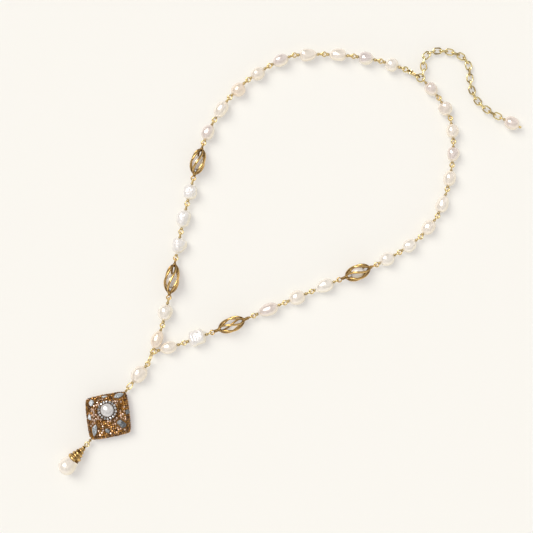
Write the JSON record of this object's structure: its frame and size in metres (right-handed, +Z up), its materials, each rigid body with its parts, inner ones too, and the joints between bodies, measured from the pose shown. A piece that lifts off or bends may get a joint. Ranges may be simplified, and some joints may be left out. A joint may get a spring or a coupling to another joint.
{
  "type": "lavaliere necklace",
  "caption": "Looped necklace of wired pearls and twisted wire cages with a beaded square pendant, a pearl teardrop, a claw clasp and an extender chain, lying flat.",
  "frame": {"origin": "middle of the whole necklace as it is laid out, on the surface it lies on", "axes": "+Z up from the surface, -Y along the drop from the junction to the teardrop, +Y towards the clasp, +X to the right strand with the drop pointing towards the viewer"},
  "size_m": [0.1234, 0.2885, 0.0088],
  "materials": {
    "pearl_rose": "lustrous rose-cream pearl",
    "pearl": "lustrous cream freshwater pearl",
    "antique_wire": "antiqued gold wire, darkened in its recesses",
    "gold_wire": "worn gold-filled wire",
    "gold_bright": "polished pale gold",
    "backing": "thin brown suede backing",
    "bronze_beads": "lustred bronze glass seed beads",
    "silver_beads": "silvered beads",
    "stone": "grey-blue polished stone chips"
  },
  "bodies": {
    "necklace": {"pearl_left_1": "pearl_rose", "pearl_left_2": "pearl", "pearl_left_3": "pearl", "pearl_left_4": "pearl", "pearl_left_5": "pearl", "pearl_left_6": "pearl_rose", "pearl_left_7": "pearl", "pearl_left_8": "pearl_rose", "pearl_left_9": "pearl", "pearl_left_10": "pearl", "pearl_left_11": "pearl", "pearl_left_12": "pearl", "pearl_left_13": "pearl", "pearl_left_14": "pearl", "pearl_right_1": "pearl_rose", "pearl_right_2": "pearl_rose", "pearl_right_3": "pearl", "pearl_right_4": "pearl", "pearl_right_5": "pearl", "pearl_right_6": "pearl", "pearl_right_7": "pearl", "pearl_right_8": "pearl", "pearl_right_9": "pearl", "pearl_right_10": "pearl", "pearl_right_11": "pearl", "pearl_right_12": "pearl", "pearl_right_13": "pearl", "pearl_right_14": "pearl", "wire_cage_1": "antique_wire", "wire_cage_2": "antique_wire", "wire_cage_3": "antique_wire", "wire_cage_4": "antique_wire", "caged_pearl_1": "pearl_rose", "caged_pearl_2": "pearl_rose", "caged_pearl_3": "pearl_rose", "left_link_wires": "gold_wire", "right_link_wires": "gold_wire", "clasp_body": "gold_bright", "joining_ring": "gold_bright", "extender_chain": "gold_bright", "tail_pearl": "pearl_rose", "tail_pin": "gold_wire", "junction_ring": "gold_wire", "drop_pearl": "pearl", "drop_link_wire": "gold_wire", "pendant_back": "backing", "bead_field": "bronze_beads", "pendant_pearl": "pearl", "halo_beads": "silver_beads", "stone_chips": "stone", "pendant_wire": "gold_wire", "wrapped_cap": "antique_wire", "teardrop_pearl": "pearl", "teardrop_pin": "gold_wire"},
    "clasp_lever": {"clasp_lever": "gold_bright"}
  },
  "joints": [
    {"name": "clasp_lever_hinge", "type": "hinge", "parent": "necklace", "child": "clasp_lever", "pos_m": [0.00186, 0.12061, 0.00395], "axis": [0.1897, -0.9818, 0], "range_deg": [-24, 0], "stiffness_Nm_per_rad": 0.00004, "springref_deg": 5.16}
  ]
}
